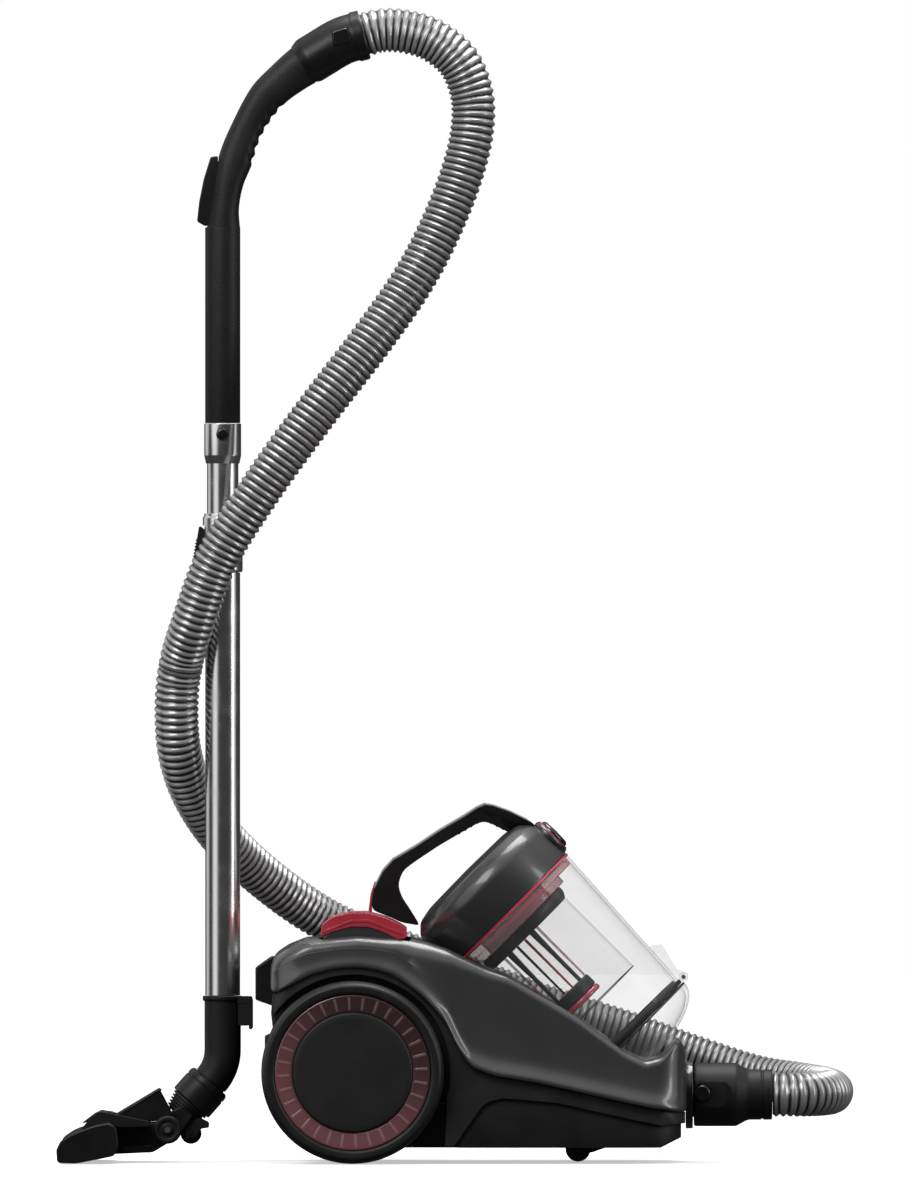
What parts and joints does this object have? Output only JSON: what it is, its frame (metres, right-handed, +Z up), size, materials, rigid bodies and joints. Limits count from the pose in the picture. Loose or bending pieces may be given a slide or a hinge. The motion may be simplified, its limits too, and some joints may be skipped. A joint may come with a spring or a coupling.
{
  "type": "canister vacuum cleaner",
  "caption": "Bagless canister vacuum cleaner with a clear dust cup, ribbed suction hose, telescopic wand and tilting floor head, parked upright.",
  "frame": {"origin": "on the floor under the middle of the cleaner's box, measured without the hose", "axes": "+Z up along the parked wand, +X from the wand towards the hose inlet, +Y across the cleaner, away from the near wheel"},
  "size_m": [0.7939, 0.3199, 1.1524],
  "materials": {
    "housing": "satin dark grey",
    "black_plastic": "fine matte black",
    "hub": "matte dark grey",
    "tyre": "soft satin tread",
    "rubber": "matte",
    "tinted_ring": "smoked red translucent",
    "red_plastic": "gloss red",
    "red_clear": "transparent red",
    "clear_plastic": "clear polycarbonate",
    "chrome_tube": "polished tube",
    "hose": "silver ribbed hose",
    "steel": "turned",
    "casing": "moulded motor casing",
    "foam": "open foam",
    "board": "circuit board",
    "bristle": "nylon bristles"
  },
  "bodies": {
    "canister": {"upper_housing": "housing", "lower_chassis": "black_plastic", "main_axle": "steel", "parking_socket": "black_plastic", "cord_outlet": "black_plastic", "motor_body": "casing", "exhaust_filter": "foam", "control_board": "board", "inlet_ring": "black_plastic", "hose_lower": "hose"},
    "wheel_near": {"tyre_near": "tyre", "wheel_ring_near": "tinted_ring", "wheel_hub_near": "hub"},
    "wheel_far": {"tyre_far": "tyre", "wheel_ring_far": "tinted_ring", "wheel_hub_far": "hub"},
    "caster_yoke": {"caster_fork": "black_plastic"},
    "caster_roller": {"caster_wheel": "tyre"},
    "fan": {"fan_impeller": "casing"},
    "reel": {"cord_reel": "black_plastic"},
    "power_switch": {"power_pedal": "red_plastic"},
    "rewind_switch": {"rewind_pedal": "red_plastic"},
    "cup": {"dust_cup": "clear_plastic", "rim_gasket": "rubber", "inner_sleeve": "clear_plastic", "filter_flange": "red_clear", "filter_cage": "black_plastic", "filter_mesh": "foam", "cyclone_head": "housing", "carry_handle": "black_plastic", "lid_pin": "steel"},
    "lid": {"cup_lid": "clear_plastic"},
    "release": {"release_button": "black_plastic"},
    "connector": {"hose_connector": "black_plastic"},
    "latch_near": {"latch_button_near": "black_plastic"},
    "latch_far": {"latch_button_far": "black_plastic"},
    "lower_wand": {"lower_tube": "chrome_tube", "clasp_sleeve": "chrome_tube", "elbow": "black_plastic"},
    "wand_lock": {"lock_slider": "black_plastic"},
    "upper_wand": {"handle_grip": "black_plastic", "hose_cuff": "black_plastic", "wand_collar": "chrome_tube", "inner_tube": "chrome_tube", "hose_upper": "hose"},
    "suction_vent": {"suction_slider": "black_plastic"},
    "snap": {"snap_button": "black_plastic"},
    "cuff_release": {"cuff_button": "black_plastic"},
    "neck": {"swivel_collar": "black_plastic", "neck_knuckle": "black_plastic"},
    "roller": {"rear_roller": "rubber"},
    "floor_head": {"head_base": "black_plastic", "neck_cover": "black_plastic", "end_cap_near": "black_plastic", "end_cap_far": "black_plastic", "pitch_pin": "steel"},
    "head_wheel_a": {"head_wheel_near": "rubber"},
    "head_wheel_b": {"head_wheel_far": "rubber"},
    "pedal": {"mode_pedal": "black_plastic"},
    "brush": {"brush_strip": "bristle"}
  },
  "joints": [
    {"name": "wheel_near_roll", "type": "hinge", "parent": "canister", "child": "wheel_near", "pos_m": [-0.062, 0, 0.091], "axis": [0, 1, 0], "continuous": true},
    {"name": "wheel_far_roll", "type": "hinge", "parent": "canister", "child": "wheel_far", "pos_m": [-0.062, 0, 0.091], "axis": [0, 1, 0], "continuous": true},
    {"name": "caster_swivel", "type": "hinge", "parent": "canister", "child": "caster_yoke", "pos_m": [0.172, 0, 0.03], "axis": [0, 0, 1], "continuous": true},
    {"name": "caster_roll", "type": "hinge", "parent": "caster_yoke", "child": "caster_roller", "pos_m": [0.163, 0, 0.0125], "axis": [0, 1, 0], "continuous": true},
    {"name": "fan_spin", "type": "hinge", "parent": "canister", "child": "fan", "pos_m": [0.012, 0, 0.112], "axis": [0, 1, 0], "continuous": true},
    {"name": "reel_spin", "type": "hinge", "parent": "canister", "child": "reel", "pos_m": [-0.08, 0, 0.152], "axis": [0, 1, 0], "continuous": true},
    {"name": "power_press", "type": "slide", "parent": "canister", "child": "power_switch", "axis": [0, 0, -1], "range_m": [0, 0.004], "stiffness_N_per_m": 2000, "springref_m": -0.002},
    {"name": "rewind_press", "type": "slide", "parent": "canister", "child": "rewind_switch", "axis": [0, 0, -1], "range_m": [0, 0.004], "stiffness_N_per_m": 2000, "springref_m": -0.002},
    {"name": "cup_lift", "type": "slide", "parent": "canister", "child": "cup", "axis": [0, 0, 1], "range_m": [0, 0.25]},
    {"name": "lid_hinge", "type": "hinge", "parent": "cup", "child": "lid", "pos_m": [0.2684, 0, 0.1847], "axis": [0, -1, 0], "range_deg": [0, 80]},
    {"name": "release_press", "type": "slide", "parent": "cup", "child": "release", "axis": [-0.7071, 0, -0.7071], "range_m": [0, 0.003], "stiffness_N_per_m": 600, "springref_m": -0.002},
    {"name": "inlet_swivel", "type": "hinge", "parent": "canister", "child": "connector", "pos_m": [0.28, 0, 0.067], "axis": [1, 0, 0], "continuous": true},
    {"name": "latch_near_press", "type": "slide", "parent": "connector", "child": "latch_near", "axis": [0, 1, 0], "range_m": [0, 0.002], "stiffness_N_per_m": 300, "springref_m": -0.002},
    {"name": "latch_far_press", "type": "slide", "parent": "connector", "child": "latch_far", "axis": [0, -1, 0], "range_m": [0, 0.002], "stiffness_N_per_m": 300, "springref_m": -0.002},
    {"name": "wand_lift", "type": "slide", "parent": "canister", "child": "lower_wand", "axis": [0, 0, 1], "range_m": [0, 0.06], "deforming": ["hose_lower"]},
    {"name": "wand_telescope", "type": "slide", "parent": "lower_wand", "child": "upper_wand", "axis": [0, 0, 1], "range_m": [-0.045, 0.28], "deforming": ["hose_upper"]},
    {"name": "wand_lock_slide", "type": "slide", "parent": "lower_wand", "child": "wand_lock", "axis": [0, 0, -1], "range_m": [0, 0.005], "stiffness_N_per_m": 300, "springref_m": -0.002},
    {"name": "suction_vent_slide", "type": "slide", "parent": "upper_wand", "child": "suction_vent", "axis": [0, 0, 1], "range_m": [0, 0.015]},
    {"name": "snap_press", "type": "slide", "parent": "upper_wand", "child": "snap", "axis": [0, 1, 0], "range_m": [0, 0.003], "stiffness_N_per_m": 300, "springref_m": -0.002},
    {"name": "cuff_release_press", "type": "slide", "parent": "upper_wand", "child": "cuff_release", "axis": [0, 1, 0], "range_m": [0, 0.0015], "stiffness_N_per_m": 300, "springref_m": -0.002},
    {"name": "neck_swivel", "type": "hinge", "parent": "lower_wand", "child": "neck", "pos_m": [-0.204, 0, 0.081], "axis": [-0.6645, 0, -0.7473], "range_deg": [-60, 60]},
    {"name": "head_pitch", "type": "hinge", "parent": "neck", "child": "floor_head", "pos_m": [-0.247, 0, 0.0324], "axis": [0, -1, 0], "range_deg": [0, 60]},
    {"name": "rear_roller_roll", "type": "hinge", "parent": "neck", "child": "roller", "pos_m": [-0.224, 0, 0.0282], "axis": [0, 1, 0], "continuous": true},
    {"name": "head_wheel_near_roll", "type": "hinge", "parent": "floor_head", "child": "head_wheel_a", "pos_m": [-0.247, 0, 0.0324], "axis": [0, 1, 0], "continuous": true},
    {"name": "head_wheel_far_roll", "type": "hinge", "parent": "floor_head", "child": "head_wheel_b", "pos_m": [-0.247, 0, 0.0324], "axis": [0, 1, 0], "continuous": true},
    {"name": "mode_pedal_rock", "type": "hinge", "parent": "floor_head", "child": "pedal", "pos_m": [-0.303, 0, 0.048], "axis": [0, -1, 0], "range_deg": [0, 7]},
    {"name": "brush_drop", "type": "slide", "parent": "floor_head", "child": "brush", "axis": [0, 0, -1], "range_m": [0, 0.004]}
  ],
  "couplings": [
    {"joint": "lid_hinge", "follows": "cup_lift", "rad_per_m": 5.5851},
    {"joint": "brush_drop", "follows": "mode_pedal_rock", "m_per_rad": 0.03274}
  ]
}
